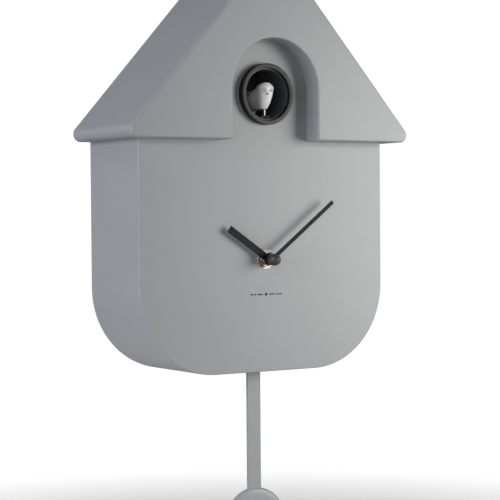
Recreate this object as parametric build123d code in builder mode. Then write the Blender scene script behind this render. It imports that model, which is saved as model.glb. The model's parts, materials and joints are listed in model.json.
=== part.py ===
from build123d import *
from math import cos, hypot, pi, radians, sin
import os

# Wall-hung cuckoo clock with a pendulum, in millimetres.
# +X is the viewer's right, +Y goes into the wall and +Z is up. The origin lies on the wall
# plane, straight behind the arbor that carries the hands.

os.makedirs("parts", exist_ok=True)

# ---- driving dimensions -------------------------------------------------------------------
wall = 2.5                # thickness of the moulded shells
play = 0.3                # gap between shells that slide together
run = 0.05                # radial clearance of a shaft in its hole
through = 100.0           # depth of a cut that goes out through the front of a piece

case_half_width = 95.0
case_front_y = -65.0      # face that carries the hands
case_bottom_z = -74.0
case_corner_radius = 56.0
case_edge_radius = 0.7

roof_front_y = -79.0      # face of the gable
roof_apex_z = 205.8       # where the two slopes would meet if the ridge weren't rounded
roof_slope = 0.89         # half-width gained for each millimetre down the slope
roof_eave_z = 78.0        # flat underside of the eaves
roof_eave_radius = 5.1
roof_ridge_radius = 8.0
roof_edge_radius = 1.4
roof_gap = 0.4            # between the roof's slopes and the case's

arch_radius = 33.4        # notch in the gable, half round on straight sides
arch_centre_z = 110.8
arch_edge_radius = 0.9

window_z = 108.4          # centre of the bird's round window
bezel_radius = 20.1
bezel_bore = 17.0
bezel_spigot_radius = 19.0 # the part of the bezel that passes through the case
bezel_edge_radius = 0.5
bezel_front_y = -69.4
tunnel_bore = 16.3
tunnel_front_y = -67.6
tunnel_end_y = -42.5
tunnel_wall = 1.5

cover_thickness = 3.0     # back cover, flush with the wall plane
cover_inset = wall + play
cover_screw_length = 12.0
roof_screw_length = 11.0

hour_angle = 303.9        # clockwise from twelve, as seen from the front
hour_length = 36.8
hour_width = 4.7
minute_angle = 52.6
minute_length = 62.0
minute_width = 2.6
hand_thickness = 0.6
hour_hand_y = -68.5       # back of each hand's blade
minute_hand_y = -72.1

pendulum_y = -48.5        # middle of the pendulum's rod
pendulum_pivot_z = -34.0
pendulum_bottom_z = -203.0
rod_width = 10.0
rod_thickness = 2.0
bob_radius = 25.0
bob_thickness = 5.0
bob_edge_radius = 1.5
rod_slot = (22.0, 6.0)     # slot in the case's bottom

slope_length = hypot(1.0, roof_slope)
panel_inside_y = case_front_y + wall
cover_inside_y = -cover_thickness


# screws
shank_radius = 1.45
pilot_radius = 1.5
clear_radius = 1.6
head_radius = 2.9
head_height = 1.7
recess_length = 3.4       # cross recess
recess_slot = 0.8
recess_depth = 0.9
small_head_radius = 2.7
small_head_height = 1.6
small_screw_length = 6.5
cover_post_radius = 4.0
boss_radius = 3.0         # bosses behind the dial, which carry the tunnel and the bracket
boss_back_y = -57.0
flange = 2.0              # thickness of what is screwed to the bosses
flange_back_y = boss_back_y + flange
board_post_radius = 2.5
counterbore_radius = 3.2
counterbore_depth = 2.0
ear_screw_x = 13.0        # screws of the cuckoo drive's frame
ear_screw_radius = 1.15

# hand arbor, from the wall to the front
washer_radius = 6.5
washer_thickness = 0.5
nut_flats = 10.0
nut_thickness = 2.4
nut_chamfer_angle = 20.0
bushing_radius = 4.0
bushing_front_y = -68.2
bushing_flange_radius = 6.0
bushing_flange = 0.5
thread_pitch = 0.9        # rings cut in the bushing stand for its thread
thread_depth = 0.25
tube_radius = 2.5         # hour wheel's tube
tube_front_y = -69.7
hour_hub_radius = 3.8
hour_hub_front_y = -69.8
shaft_radius = 1.6        # minute shaft
shaft_front_y = -74.2
minute_hub_radius = 3.6
minute_hub_back_y = -70.1
press = 0.01              # radial gap that stands for a press fit
cap_radius = 3.9
cap_centre_y = -75.7
gasket_radius = 13.0

# clock movement
movement_half = 28.0
movement_wall = 1.2
gasket_thickness = 1.2
movement_front_y = panel_inside_y + gasket_thickness
movement_back_y = -44.1   # where the movement's cover lies on its case
movement_corner = 5.0
movement_inside_y = movement_front_y + movement_wall
train_plate_y = -47.6     # front of the plate that carries the rear pivots
train_plate_thickness = 0.8
pivot_radius = 0.6
pivot_back_y = train_plate_y + train_plate_thickness - 0.1

motion_module = 0.35      # minute shaft, minute wheel and setting wheel
cannon_teeth = 12
minute_wheel_teeth = 36
setting_teeth = 16
minute_pinion_teeth = 10
hour_wheel_teeth = 40
train_module = 0.22       # centre wheel and third wheel's pinion
centre_wheel_teeth = 64
third_pinion_teeth = 8
third_wheel_teeth = 60
second_pinion_teeth = 8
second_wheel_teeth = 52
second_module = 0.19      # third wheel and second wheel's pinion

minute_wheel_z = -(cannon_teeth + minute_wheel_teeth) * motion_module / 2
hour_module = -2 * minute_wheel_z / (minute_pinion_teeth + hour_wheel_teeth)
setting_z = minute_wheel_z - (minute_wheel_teeth + setting_teeth) * motion_module / 2
train_angle = 150.0       # direction from the arbor to the third wheel, from +X towards +Z
third_distance = (centre_wheel_teeth + third_pinion_teeth) * train_module / 2
second_distance = third_distance + (third_wheel_teeth + second_pinion_teeth) * second_module / 2
rotor_place = (-13.5, -12.5)
rotor_radius = 2.5

hour_wheel_y = -58.6      # back of each wheel, which grows to the front
motion_wheel_y = -54.8
centre_wheel_y = -52.6
third_wheel_y = -50.6
second_wheel_y = -48.8
wheel_thickness = 0.9
motion_thickness = 1.4

# tooth corners: height from the pitch line in modules, and place across the pitch
tooth_corners = ((-1.2, -0.27), (0.9, -0.13), (0.9, 0.13), (-1.2, 0.27))

# cuckoo drive: a rack under the carriage, its pinion, a large wheel and the motor's pinion
rack_module = 0.5
rack_pitch = pi * rack_module
rack_pinion_teeth = 14
drive_wheel_teeth = 30
motor_pinion_teeth = 10
bar_half_width = 3.5
bar_bottom_z = 92.6
bar_top_z = 94.5
bar_front_y = -66.0
bar_back_y = -7.0
drive_y = -32.0
rack_line_z = bar_bottom_z + 0.9 * rack_module
drive_z = rack_line_z - rack_pinion_teeth * rack_module / 2
motor_z = drive_z - (drive_wheel_teeth + motor_pinion_teeth) * rack_module / 2
drive_wheel_x = 9.4
drive_axle_radius = 1.0
motor_shaft_radius = 0.75
motor_radius = 6.0

# things on the back cover
cover_screws = [(88.3, 60), (88.3, -2), (45, -67.3), (28.5, 160)]
cover_screws += [(-x, z) for x, z in cover_screws]
roof_screws_at = [(60, 100), (42, 139), (-60, 100), (-42, 139)]
tunnel_screw_ring = 23.0
bracket_screws_at = [(11, -37), (11, -66), (-11, -37), (-11, -66)]
speaker_place = (54.0, 2.0)
speaker_hole_pitch = 6.0
speaker_hole_radius = 1.6
tray_x = -54.0
cell_radius = 7.15
cell_pitch = 15.2
cell_length = 49.5
tray_half_width = 24.6
tray_half_height = 31.0
tray_front_y = -20.5
tray_wall = 1.5
cell_nub = 1.0
door_half_width = 24.2
door_half_height = 32.0
door_thickness = 1.6
door_back_y = -0.4
board_y = -10.5           # rear face of both circuit boards
board_thickness = 1.6
board_place = (-48.0, 66.0)
board_size = (44.0, 38.0)
switch_place = (30.0, -46.0)
switch_travel = 5.0
slider_width = 4.0
button_place = (50.0, -46.0)
button_radius = 3.0
switch_board_place = (40.0, -46.0)
switch_board_size = (36.0, 18.0)
switch_board_thickness = 1.2
knob_radius = 6.4
knob_shaft_radius = 2.0
knob_front_y = -8.0
keyhole_z = 150.0
keyhole_radius = 5.0
keyhole_slot = 5.0
sensor_place = (30.0, -22.0)
sensor_radius = 2.5


# ---- planes and outlines ------------------------------------------------------------------
def facing_front(y):
    """Plane at depth y. A sketch on it has +X to the right and +Z up, and grows to the front."""
    return Plane.XZ.offset(-y)


def from_side(x):
    """Plane at x. A sketch on it has +Y to the right and +Z up, and grows towards +X."""
    return Plane.YZ.offset(x)


def house(sketch, inset):
    """Front outline of the case, drawn inset from its outer faces."""
    side = case_half_width - inset
    peak = roof_apex_z - (wall + roof_gap + inset) * slope_length / roof_slope
    knee = peak - side / roof_slope
    foot = case_bottom_z + inset
    Polygon((-side, foot), (side, foot), (side, knee), (0, peak), (-side, knee))
    fillet(sketch.vertices().group_by(Axis.Y)[0], case_corner_radius - inset)
    fillet(sketch.vertices().sort_by(Axis.Y)[-1:], roof_ridge_radius - wall - roof_gap - inset)


def gable(sketch, inset):
    """Front outline of the roof, a triangle with a round ridge and round eaves."""
    foot = roof_eave_z + inset
    tip = roof_slope * (roof_apex_z - foot) - inset * slope_length
    peak = roof_apex_z - inset * slope_length / roof_slope
    Polygon((-tip, foot), (tip, foot), (0, peak))
    fillet(sketch.vertices().group_by(Axis.Y)[0], roof_eave_radius - inset)
    fillet(sketch.vertices().sort_by(Axis.Y)[-1:], roof_ridge_radius - inset)


def arch(radius, foot):
    """Half-round arch on straight sides that start at foot."""
    with Locations((0, arch_centre_z)):
        Circle(radius)
    with Locations((0, foot)):
        Rectangle(2 * radius, arch_centre_z - foot, align=(Align.CENTER, Align.MIN))


def toothed(teeth, module, first_tooth):
    """Wheel with straight-sided teeth, one of them centred on the angle first_tooth."""
    corners = []
    for tooth in range(teeth):
        for height, share in tooth_corners:
            angle = radians(first_tooth + (tooth + share) * 360 / teeth)
            radius = (teeth / 2 + height) * module
            corners.append((radius * cos(angle), radius * sin(angle)))
    Polygon(*corners)


def toward(angle, distance):
    """Point at a distance from the arbor, along an angle from +X towards +Z."""
    return (distance * cos(radians(angle)), distance * sin(radians(angle)))


third_place = toward(train_angle, third_distance)
second_place = toward(train_angle, second_distance)

# ---- shells -------------------------------------------------------------------------------
with BuildPart() as front_case:
    with BuildSketch(facing_front(0)) as case_outside:
        house(case_outside, 0)
    extrude(amount=-case_front_y)
    fillet(front_case.faces().sort_by(Axis.Y)[0].edges(), case_edge_radius)
    with BuildSketch(facing_front(0)) as case_inside:
        house(case_inside, wall)
    extrude(amount=-panel_inside_y, mode=Mode.SUBTRACT)
    # posts for the back cover's screws, run into the side walls
    with BuildSketch(facing_front(cover_inside_y)):
        with Locations(*cover_screws):
            Circle(cover_post_radius)
    extrude(amount=cover_inside_y - panel_inside_y + 0.5)
    # low bosses for the bird tunnel and the pendulum bracket
    with BuildSketch(facing_front(boss_back_y)):
        with Locations((0, window_z)):
            with PolarLocations(tunnel_screw_ring, 3, 90):
                Circle(boss_radius)
        with Locations(*bracket_screws_at):
            Circle(boss_radius)
    extrude(amount=boss_back_y - panel_inside_y + 0.5)
    with BuildSketch(facing_front(cover_inside_y)):
        with Locations(*cover_screws):
            Circle(pilot_radius)
    extrude(amount=cover_screw_length + 1, mode=Mode.SUBTRACT)
    with BuildSketch(facing_front(boss_back_y)):
        with Locations((0, window_z)):
            with PolarLocations(tunnel_screw_ring, 3, 90):
                Circle(pilot_radius)
        with Locations(*bracket_screws_at):
            Circle(pilot_radius)
    extrude(amount=small_screw_length - flange + 0.5, mode=Mode.SUBTRACT)
    # window, arbor hole and the holes of the roof's screws
    with BuildSketch(facing_front(-50.0)):
        with Locations((0, window_z)):
            Circle(bezel_spigot_radius + 0.1)
        Circle(bushing_radius + 0.2)
        with Locations(*roof_screws_at):
            Circle(clear_radius)
    extrude(amount=through, mode=Mode.SUBTRACT)
    # slot for the pendulum's rod and the light sensor's hole, through the bottom wall
    with BuildSketch(Plane.XY.offset(case_bottom_z - 5)):
        with Locations((0, pendulum_y)):
            RectangleRounded(*rod_slot, 2.0)
        with Locations(sensor_place):
            Circle(sensor_radius + 0.1)
    extrude(amount=12.0, mode=Mode.SUBTRACT)
front_case.part.label = "front_case"
export_step(front_case.part, "parts/front_case.step")

with BuildPart() as roof_shell:
    with BuildSketch(facing_front(0)) as roof_outside:
        gable(roof_outside, 0)
    extrude(amount=-roof_front_y)
    fillet(roof_shell.faces().sort_by(Axis.Y)[0].edges(), roof_edge_radius)
    with BuildSketch(facing_front(0)) as roof_inside:
        gable(roof_inside, wall)
    extrude(amount=-roof_front_y - wall, mode=Mode.SUBTRACT)
    # opening in the underside, which the case fills
    with BuildSketch(Plane.XY.offset(roof_eave_z - 2)):
        with Locations((0, case_front_y)):
            Rectangle(2 * (case_half_width + play), -2 * case_front_y, align=(Align.CENTER, Align.MIN))
    extrude(amount=wall + 4, mode=Mode.SUBTRACT)
    # rim of the notch, from the gable's face back to the case
    with BuildSketch(facing_front(case_front_y)):
        arch(arch_radius + wall, roof_eave_z)
    extrude(amount=case_front_y - roof_front_y - 1)
    # posts for the screws that come through the case's face
    with BuildSketch(facing_front(case_front_y)):
        with Locations(*roof_screws_at):
            Circle(boss_radius + 0.5)
    extrude(amount=case_front_y - roof_front_y - 1)
    with BuildSketch(facing_front(case_front_y)):
        with Locations(*roof_screws_at):
            Circle(pilot_radius)
    extrude(amount=roof_screw_length - 1, mode=Mode.SUBTRACT)
    with BuildSketch(facing_front(case_front_y)):
        arch(arch_radius, roof_eave_z - 10)
    extrude(amount=through, mode=Mode.SUBTRACT)
    notch_edges = (
        roof_shell.edges()
        .filter_by(lambda edge: abs(edge.center().Y - roof_front_y) < 0.01)
        .filter_by(lambda edge: abs(edge.center().X) < arch_radius + 1)
        .filter_by(lambda edge: edge.center().Z > roof_eave_z + 2)
    )
    fillet(notch_edges, arch_edge_radius)
roof_shell.part.label = "roof_shell"
export_step(roof_shell.part, "parts/roof_shell.step")

with BuildPart() as back_cover:
    with BuildSketch(facing_front(0)) as cover_outline:
        house(cover_outline, cover_inset)
    extrude(amount=cover_thickness)
    # posts under both circuit boards
    with BuildSketch(facing_front(cover_inside_y)):
        with Locations(board_place):
            with GridLocations(board_size[0] - 6, board_size[1] - 6, 2, 2):
                Circle(board_post_radius)
        with Locations(switch_board_place):
            with GridLocations(switch_board_size[0] - 6, switch_board_size[1] - 6, 2, 2):
                Circle(board_post_radius)
    extrude(amount=cover_inside_y - board_y)
    with BuildSketch(facing_front(0)):
        with Locations(*cover_screws):
            Circle(clear_radius + 0.1)
        with Locations((0, setting_z)):
            Circle(knob_radius + 0.8)
        # the speaker's holes, in rings
        with Locations(speaker_place):
            for ring in range(4):
                with PolarLocations(speaker_hole_pitch * ring, max(1, 6 * ring)):
                    Circle(speaker_hole_radius)
        with Locations((tray_x, 0)):
            Rectangle(2 * (tray_half_width - 2), 2 * (tray_half_height - 2))
        with Locations(switch_place):
            Rectangle(switch_travel + slider_width + 1.0, slider_width + 0.6)
        with Locations(button_place):
            Circle(button_radius + 0.2)
        with Locations((0, keyhole_z)):
            Circle(keyhole_radius)
        with Locations((0, keyhole_z + 5)):
            SlotCenterToCenter(10, keyhole_slot, rotation=90)
    extrude(amount=cover_thickness, mode=Mode.SUBTRACT)
    # counterbores of the screws and the battery door's recess
    with BuildSketch(facing_front(0)):
        with Locations(*cover_screws):
            Circle(counterbore_radius)
    extrude(amount=counterbore_depth, mode=Mode.SUBTRACT)
    with BuildSketch(facing_front(0)):
        with Locations((tray_x, 0)):
            Rectangle(2 * (door_half_width + play), 2 * (door_half_height + play))
            with Locations((0, -door_half_height)):
                SlotOverall(14.0, 7.0)
    extrude(amount=door_thickness - door_back_y + 0.1, mode=Mode.SUBTRACT)
back_cover.part.label = "back_cover"
export_step(back_cover.part, "parts/back_cover.step")

with BuildPart() as back_cover_screws:
    with BuildSketch(facing_front(-0.3)):
        with Locations(*cover_screws):
            Circle(head_radius)
    extrude(amount=head_height)
    with BuildSketch(facing_front(-1.0)):
        with Locations(*cover_screws):
            Circle(shank_radius)
    extrude(amount=cover_screw_length)
    with BuildSketch(facing_front(-0.3)):
        with Locations(*cover_screws):
            Rectangle(recess_length, recess_slot)
            Rectangle(recess_slot, recess_length)
    extrude(amount=recess_depth, mode=Mode.SUBTRACT)
back_cover_screws.part.label = "back_cover_screws"
export_step(back_cover_screws.part, "parts/back_cover_screws.step")

with BuildPart() as roof_screws:
    with BuildSketch(facing_front(panel_inside_y + head_height)):
        with Locations(*roof_screws_at):
            Circle(head_radius)
    extrude(amount=head_height)
    with BuildSketch(facing_front(panel_inside_y)):
        with Locations(*roof_screws_at):
            Circle(shank_radius)
    extrude(amount=roof_screw_length)
    with BuildSketch(facing_front(panel_inside_y + head_height)):
        with Locations(*roof_screws_at):
            Rectangle(recess_length, recess_slot)
            Rectangle(recess_slot, recess_length)
    extrude(amount=recess_depth, mode=Mode.SUBTRACT)
roof_screws.part.label = "roof_screws"
export_step(roof_screws.part, "parts/roof_screws.step")

# ---- window and tunnel --------------------------------------------------------------------
with BuildPart() as window_bezel:
    with BuildSketch(facing_front(case_front_y)):
        with Locations((0, window_z)):
            Circle(bezel_radius)
    extrude(amount=case_front_y - bezel_front_y)
    fillet(window_bezel.faces().sort_by(Axis.Y)[0].edges(), bezel_edge_radius)
    with BuildSketch(facing_front(panel_inside_y)):
        with Locations((0, window_z)):
            Circle(bezel_spigot_radius)
    extrude(amount=wall)
    with BuildSketch(facing_front(panel_inside_y)):
        with Locations((0, window_z)):
            Circle(bezel_bore)
    extrude(amount=through, mode=Mode.SUBTRACT)
window_bezel.part.label = "window_bezel"
export_step(window_bezel.part, "parts/window_bezel.step")

with BuildPart() as bird_tunnel:
    with BuildSketch(facing_front(panel_inside_y)):
        with Locations((0, window_z)):
            Circle(tunnel_bore + 0.5)
    extrude(amount=panel_inside_y - tunnel_front_y)
    with BuildSketch(facing_front(tunnel_end_y)):
        with Locations((0, window_z)):
            Circle(tunnel_bore + tunnel_wall)
    extrude(amount=tunnel_end_y - panel_inside_y)
    # ring that sits on the case's three bosses
    with BuildSketch(facing_front(flange_back_y)):
        with Locations((0, window_z)):
            Circle(tunnel_screw_ring + boss_radius + 0.5)
    extrude(amount=flange)
    # plate that carries the cuckoo drive
    with BuildSketch(facing_front(tunnel_end_y)):
        Polygon((-17, motor_z - 7), (17, motor_z - 7), (17, window_z), (-17, window_z))
    extrude(amount=tunnel_wall)
    with BuildSketch(facing_front(tunnel_end_y)):
        with Locations((0, window_z)):
            Circle(tunnel_bore)
        with Locations((-ear_screw_x, motor_z), (ear_screw_x, motor_z)):
            Circle(ear_screw_radius + run)
    extrude(amount=through, mode=Mode.SUBTRACT)
    with BuildSketch(facing_front(flange_back_y)):
        with Locations((0, window_z)):
            with PolarLocations(tunnel_screw_ring, 3, 90):
                Circle(clear_radius)
    extrude(amount=flange, mode=Mode.SUBTRACT)
bird_tunnel.part.label = "bird_tunnel"
export_step(bird_tunnel.part, "parts/bird_tunnel.step")

with BuildPart() as tunnel_screws:
    with BuildSketch(facing_front(flange_back_y + small_head_height)):
        with Locations((0, window_z)):
            with PolarLocations(tunnel_screw_ring, 3, 90):
                Circle(small_head_radius)
    extrude(amount=small_head_height)
    with BuildSketch(facing_front(flange_back_y)):
        with Locations((0, window_z)):
            with PolarLocations(tunnel_screw_ring, 3, 90):
                Circle(shank_radius)
    extrude(amount=small_screw_length)
    with BuildSketch(facing_front(flange_back_y + small_head_height)):
        with Locations((0, window_z)):
            with PolarLocations(tunnel_screw_ring, 3, 90):
                Rectangle(recess_length, recess_slot)
                Rectangle(recess_slot, recess_length)
    extrude(amount=recess_depth, mode=Mode.SUBTRACT)
tunnel_screws.part.label = "tunnel_screws"
export_step(tunnel_screws.part, "parts/tunnel_screws.step")

# ---- bird and its drive -------------------------------------------------------------------
bird_head = (0, -64.4, 109.8)
bird_waist = (0, -54.5, 105.2)
bird_base_z = 98.4

with BuildPart() as bird_body:
    with BuildSketch(Plane((0, bird_waist[1], bird_waist[2]), x_dir=(0, 1, 0), z_dir=(1, 0, 0))):
        Ellipse(13.5, 6.4)
        Rectangle(40, 20, align=(Align.CENTER, Align.MAX), mode=Mode.SUBTRACT)
    revolve(axis=Axis((0, bird_waist[1], bird_waist[2]), (0, 1, 0)))
    with Locations(bird_head):
        Sphere(6.1)
    # tail, a thick blade that rises to the rear
    with BuildSketch(from_side(-2.5)):
        Polygon((-50, 106.5), (-37.5, 111.5), (-38.5, 114.5), (-54, 110.5))
    extrude(amount=5.0)
    # beak
    with BuildSketch(facing_front(-69.5)):
        with Locations((0, 108.3)):
            Circle(1.3)
    extrude(amount=2.5, taper=20)
    # flat base
    with BuildSketch(Plane.XY.offset(bird_base_z)):
        with Locations((0, -58)):
            Rectangle(40, 40)
    extrude(amount=-10, mode=Mode.SUBTRACT)
bird_body.part.label = "bird_body"
export_step(bird_body.part, "parts/bird_body.step")

with BuildPart() as bird_pegs:
    with BuildSketch(Plane.XY.offset(bar_top_z)):
        with Locations((0, -64.5), (0, -52.0)):
            Circle(0.6)
    extrude(amount=bird_base_z - bar_top_z)
bird_pegs.part.label = "bird_pegs"
export_step(bird_pegs.part, "parts/bird_pegs.step")

with BuildPart() as bird_carriage:
    with BuildSketch(from_side(-bar_half_width)):
        tooth_count = 17
        teeth = []
        for tooth in range(tooth_count):
            middle = drive_y + (tooth - 1.5) * rack_pitch
            for height, share in tooth_corners:
                teeth.append((middle + share * rack_pitch, rack_line_z - height * rack_module))
        Polygon((bar_front_y, bar_bottom_z), *teeth, (bar_back_y, bar_bottom_z + 1.0),
                (bar_back_y, bar_top_z), (bar_front_y, bar_top_z))
    extrude(amount=2 * bar_half_width)
bird_carriage.part.label = "bird_carriage"
export_step(bird_carriage.part, "parts/bird_carriage.step")

with BuildPart() as drive_gear:
    with BuildSketch(from_side(-3.0)):
        with Locations((drive_y, drive_z)):
            toothed(rack_pinion_teeth, rack_module, 90)
    extrude(amount=6.0)
    with BuildSketch(from_side(drive_wheel_x)):
        with Locations((drive_y, drive_z)):
            toothed(drive_wheel_teeth, rack_module, -90 + 180 / drive_wheel_teeth)
    extrude(amount=2.0)
    with BuildSketch(from_side(-8.6)):
        with Locations((drive_y, drive_z)):
            Circle(drive_axle_radius)
    extrude(amount=drive_wheel_x + 8.6 + 1)
drive_gear.part.label = "drive_gear"
export_step(drive_gear.part, "parts/drive_gear.step")

with BuildPart() as motor_pinion:
    with BuildSketch(from_side(drive_wheel_x - 0.3)):
        with Locations((drive_y, motor_z)):
            toothed(motor_pinion_teeth, rack_module, 90)
    extrude(amount=2.6)
    with BuildSketch(from_side(3.0)):
        with Locations((drive_y, motor_z)):
            Circle(motor_shaft_radius)
    extrude(amount=drive_wheel_x)
motor_pinion.part.label = "motor_pinion"
export_step(motor_pinion.part, "parts/motor_pinion.step")

with BuildPart() as cuckoo_motor:
    with BuildSketch(from_side(-6.9)):
        with Locations((drive_y, motor_z)):
            Circle(motor_radius)
    extrude(amount=14.1)
    fillet(cuckoo_motor.edges().filter_by(GeomType.CIRCLE), 0.6)
    with BuildSketch(from_side(7.0)):
        with Locations((drive_y, motor_z)):
            Circle(1.9)
    extrude(amount=1.5)
    with BuildSketch(from_side(2.8)):
        with Locations((drive_y, motor_z)):
            Circle(motor_shaft_radius + run)
    extrude(amount=10.0, mode=Mode.SUBTRACT)
cuckoo_motor.part.label = "cuckoo_motor"
export_step(cuckoo_motor.part, "parts/cuckoo_motor.step")

with BuildPart() as mechanism_frame:
    with BuildSketch(from_side(-8.7)):
        Polygon((-41, motor_z - 7), (-23, motor_z - 7), (-23, 96.4), (-41, 96.4))
    extrude(amount=17.4)
    with BuildSketch(from_side(-7.2)):
        Polygon((-45, motor_z - 9), (-24.5, motor_z - 9), (-24.5, 94.8), (-45, 94.8))
    extrude(amount=14.4, mode=Mode.SUBTRACT)
    # the carriage runs out through the rear web
    with BuildSketch(facing_front(-20.0)):
        with Locations((0, bar_bottom_z - 3)):
            Rectangle(8.0, 5.2, align=(Align.CENTER, Align.MIN))
    extrude(amount=6.0, mode=Mode.SUBTRACT)
    # guides on both sides of the carriage
    with BuildSketch(facing_front(-26.0)):
        for side in (-1, 1):
            with Locations((side * (bar_half_width + 0.9), bar_bottom_z)):
                Rectangle(1.4, 3.0, align=(Align.CENTER, Align.MIN))
    extrude(amount=12.0)
    # ears that are screwed to the tunnel's plate
    with BuildSketch(facing_front(-39.5)):
        for side in (-1, 1):
            with Locations((side * 12.3, motor_z)):
                Rectangle(8.0, 9.0)
    extrude(amount=1.5)
    with BuildSketch(facing_front(-39.0)):
        with Locations((-ear_screw_x, motor_z), (ear_screw_x, motor_z)):
            Circle(ear_screw_radius + 0.15)
    extrude(amount=4.0, mode=Mode.SUBTRACT)
    with BuildSketch(from_side(-10.0)):
        with Locations((drive_y, drive_z)):
            Circle(drive_axle_radius + run)
    extrude(amount=20.0, mode=Mode.SUBTRACT)
    with BuildSketch(from_side(5.0)):
        with Locations((drive_y, motor_z)):
            Circle(2.0)
    extrude(amount=5.0, mode=Mode.SUBTRACT)
mechanism_frame.part.label = "mechanism_frame"
export_step(mechanism_frame.part, "parts/mechanism_frame.step")

with BuildPart() as mechanism_screws:
    with BuildSketch(facing_front(-38.0)):
        with Locations((-ear_screw_x, motor_z), (ear_screw_x, motor_z)):
            Circle(2 * ear_screw_radius)
    extrude(amount=1.5)
    with BuildSketch(facing_front(-39.5)):
        with Locations((-ear_screw_x, motor_z), (ear_screw_x, motor_z)):
            Circle(ear_screw_radius)
    extrude(amount=5.5)
mechanism_screws.part.label = "mechanism_screws"
export_step(mechanism_screws.part, "parts/mechanism_screws.step")

# ---- hand arbor and hands -----------------------------------------------------------------
with BuildPart() as dial_washer:
    with BuildSketch(facing_front(case_front_y)):
        Circle(washer_radius)
        Circle(bushing_radius + 2 * run, mode=Mode.SUBTRACT)
    extrude(amount=washer_thickness)
dial_washer.part.label = "dial_washer"
export_step(dial_washer.part, "parts/dial_washer.step")

with BuildPart() as dial_nut:
    with BuildSketch(facing_front(case_front_y - washer_thickness)):
        RegularPolygon(nut_flats / 2, 6, major_radius=False)
    extrude(amount=nut_thickness)
    # the cone that rounds off the corners in front
    with BuildSketch(facing_front(case_front_y)):
        Circle(nut_flats / 2 + 1.25)
    extrude(amount=2 * nut_thickness, taper=nut_chamfer_angle, mode=Mode.INTERSECT)
    with BuildSketch(facing_front(case_front_y)):
        Circle(bushing_radius + run)
    extrude(amount=2 * nut_thickness, mode=Mode.SUBTRACT)
dial_nut.part.label = "dial_nut"
export_step(dial_nut.part, "parts/dial_nut.step")

with BuildPart() as dial_gasket:
    with BuildSketch(facing_front(movement_front_y)):
        Circle(gasket_radius)
        Circle(bushing_radius + play, mode=Mode.SUBTRACT)
    extrude(amount=gasket_thickness)
dial_gasket.part.label = "dial_gasket"
export_step(dial_gasket.part, "parts/dial_gasket.step")

with BuildPart() as arbor_bushing:
    with BuildSketch(facing_front(movement_inside_y + bushing_flange)):
        Circle(bushing_flange_radius)
    extrude(amount=bushing_flange)
    with BuildSketch(facing_front(movement_inside_y)):
        Circle(bushing_radius)
    extrude(amount=movement_inside_y - bushing_front_y)
    chamfer(arbor_bushing.faces().sort_by(Axis.Y)[0].edges(), 0.4)
    # shallow rings stand for the thread's turns
    for turn in range(1, 5):
        with BuildSketch(facing_front(bushing_front_y + thread_pitch * turn)):
            Circle(bushing_radius + 1)
            Circle(bushing_radius - thread_depth, mode=Mode.SUBTRACT)
        extrude(amount=thread_pitch / 2, mode=Mode.SUBTRACT)
    with BuildSketch(facing_front(movement_inside_y + bushing_flange)):
        Circle(tube_radius + run)
    extrude(amount=through, mode=Mode.SUBTRACT)
arbor_bushing.part.label = "arbor_bushing"
export_step(arbor_bushing.part, "parts/arbor_bushing.step")

with BuildPart() as hour_wheel:
    with BuildSketch(facing_front(hour_wheel_y)):
        toothed(hour_wheel_teeth, hour_module, -90 + 180 / hour_wheel_teeth)
    extrude(amount=wheel_thickness)
    with BuildSketch(facing_front(hour_wheel_y)):
        Circle(tube_radius)
    extrude(amount=hour_wheel_y - tube_front_y)
    with BuildSketch(facing_front(hour_wheel_y)):
        Circle(shaft_radius + run)
    extrude(amount=through, mode=Mode.SUBTRACT)
hour_wheel.part.label = "hour_wheel"
export_step(hour_wheel.part, "parts/hour_wheel.step")

with BuildPart() as hour_hand:
    with BuildSketch(facing_front(hour_hand_y)):
        Rectangle(hour_width, hour_length, rotation=-hour_angle, align=(Align.CENTER, Align.MIN))
        Circle(hour_hub_radius)
    extrude(amount=hand_thickness)
    with BuildSketch(facing_front(hour_hand_y)):
        Circle(hour_hub_radius)
    extrude(amount=hour_hand_y - hour_hub_front_y)
    with BuildSketch(facing_front(hour_hand_y)):
        Circle(tube_radius + press)
    extrude(amount=through, mode=Mode.SUBTRACT)
hour_hand.part.label = "hour_hand"
export_step(hour_hand.part, "parts/hour_hand.step")

shaft_back_y = train_plate_y - 0.4

with BuildPart() as minute_shaft:
    with BuildSketch(facing_front(pivot_back_y)):
        Circle(pivot_radius)
    extrude(amount=pivot_back_y - shaft_back_y)
    with BuildSketch(facing_front(shaft_back_y)):
        Circle(shaft_radius)
    extrude(amount=shaft_back_y - shaft_front_y)
    with BuildSketch(facing_front(centre_wheel_y)):
        toothed(centre_wheel_teeth, train_module, train_angle + 180 / centre_wheel_teeth)
    extrude(amount=wheel_thickness)
    with BuildSketch(facing_front(motion_wheel_y)):
        toothed(cannon_teeth, motion_module, -90)
    extrude(amount=motion_thickness)
minute_shaft.part.label = "minute_shaft"
export_step(minute_shaft.part, "parts/minute_shaft.step")

with BuildPart() as minute_hand:
    with BuildSketch(facing_front(minute_hand_y)):
        Rectangle(minute_width, minute_length, rotation=-minute_angle, align=(Align.CENTER, Align.MIN))
        Circle(minute_hub_radius)
    extrude(amount=hand_thickness)
    with BuildSketch(facing_front(minute_hub_back_y)):
        Circle(minute_hub_radius)
    extrude(amount=minute_hub_back_y - minute_hand_y)
    with BuildSketch(facing_front(minute_hub_back_y)):
        Circle(shaft_radius + press)
    extrude(amount=through, mode=Mode.SUBTRACT)
minute_hand.part.label = "minute_hand"
export_step(minute_hand.part, "parts/minute_hand.step")

cap_back_y = minute_hand_y - hand_thickness

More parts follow.
